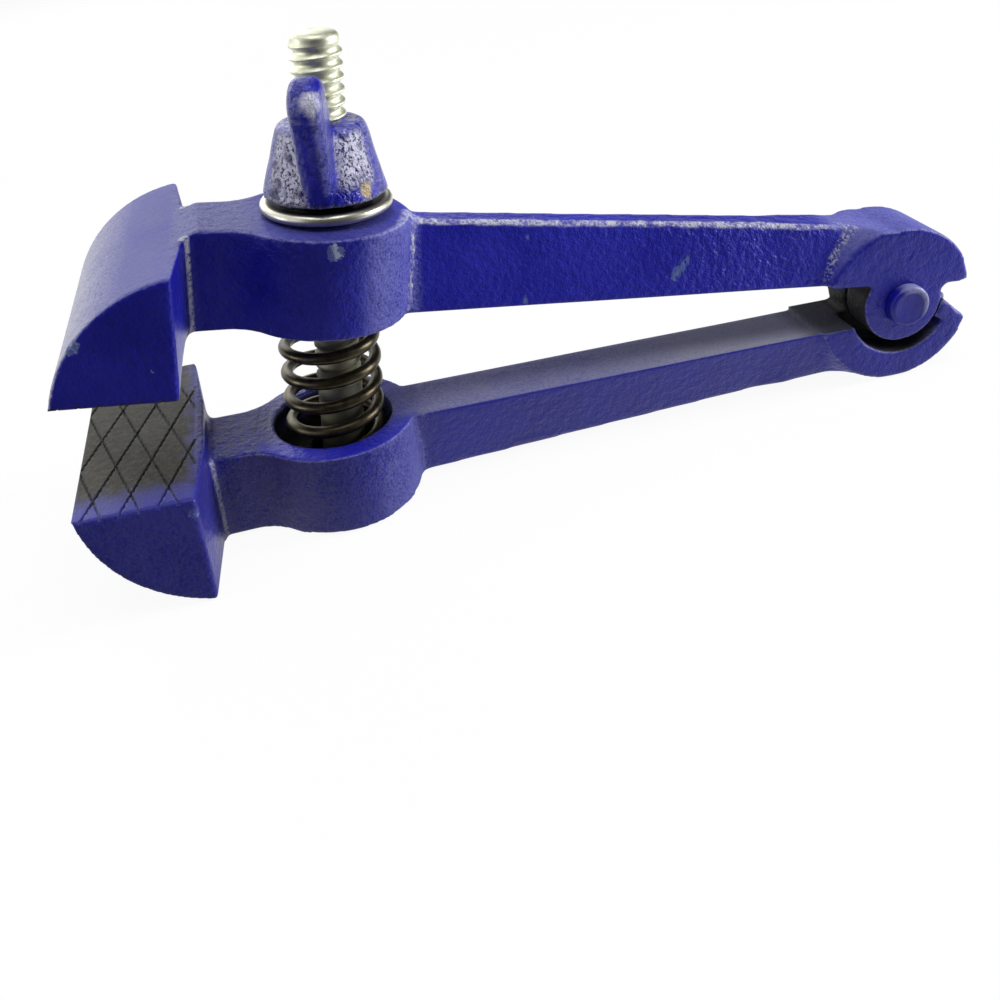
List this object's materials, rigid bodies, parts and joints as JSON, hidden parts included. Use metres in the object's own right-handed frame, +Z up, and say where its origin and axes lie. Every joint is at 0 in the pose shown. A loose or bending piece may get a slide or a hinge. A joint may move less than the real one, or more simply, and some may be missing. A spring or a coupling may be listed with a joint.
{
  "type": "hand vise",
  "caption": "Small hand vise: two cast arms with broad jaws on a riveted hinge, opened by a coil spring and closed by a wing nut on a screw.",
  "frame": {"origin": "on the ground under the middle of the vise as it stands on the lower jaw's back edge and the lower hinge head", "axes": "+X from the jaws to the hinge, +Y across the jaws, +Z up"},
  "size_m": [0.1502, 0.043, 0.0756],
  "materials": {
    "blue_casting": "gloss enamel over rough cast iron",
    "blue_rivet": "gloss enamel",
    "zinc_steel": "bright zinc plating",
    "spring_steel": "dark oiled spring steel",
    "bright_steel": "bright rolled steel",
    "blue_nut": "gloss enamel, worn"
  },
  "bodies": {
    "lower_body": {"lower_arm": "blue_casting", "hinge_rivet": "blue_rivet", "spring": "spring_steel"},
    "upper_body": {"upper_arm": "blue_casting"},
    "bolt_body": {"clamp_bolt": "zinc_steel"},
    "washer_body": {"washer": "bright_steel"},
    "nut_body": {"wing_nut": "blue_nut"}
  },
  "joints": [
    {"name": "jaw_hinge", "type": "hinge", "parent": "lower_body", "child": "upper_body", "pos_m": [0.06202, 0, 0.01438], "axis": [0, 1, 0], "range_deg": [-7.3, 5.6], "deforming": ["spring"]},
    {"name": "bolt_tilt", "type": "hinge", "parent": "lower_body", "child": "bolt_body", "pos_m": [-0.03658, 0, -0.00076], "axis": [0, 1, 0], "range_deg": [-3.65, 2.8]},
    {"name": "washer_slide", "type": "slide", "parent": "bolt_body", "child": "washer_body", "axis": [0.105, 0, 0.9945], "range_m": [-0.01283, 0.00984]},
    {"name": "nut_turn", "type": "hinge", "parent": "washer_body", "child": "nut_body", "pos_m": [-0.03658, 0, -0.00076], "axis": [0.105, 0, 0.9945], "range_deg": [-2560, 1965]}
  ],
  "couplings": [
    {"joint": "jaw_hinge", "follows": "nut_turn", "ratio": 0.0028454},
    {"joint": "bolt_tilt", "follows": "nut_turn", "ratio": 0.0014227},
    {"joint": "washer_slide", "follows": "nut_turn", "m_per_rad": 0.00028648}
  ]
}
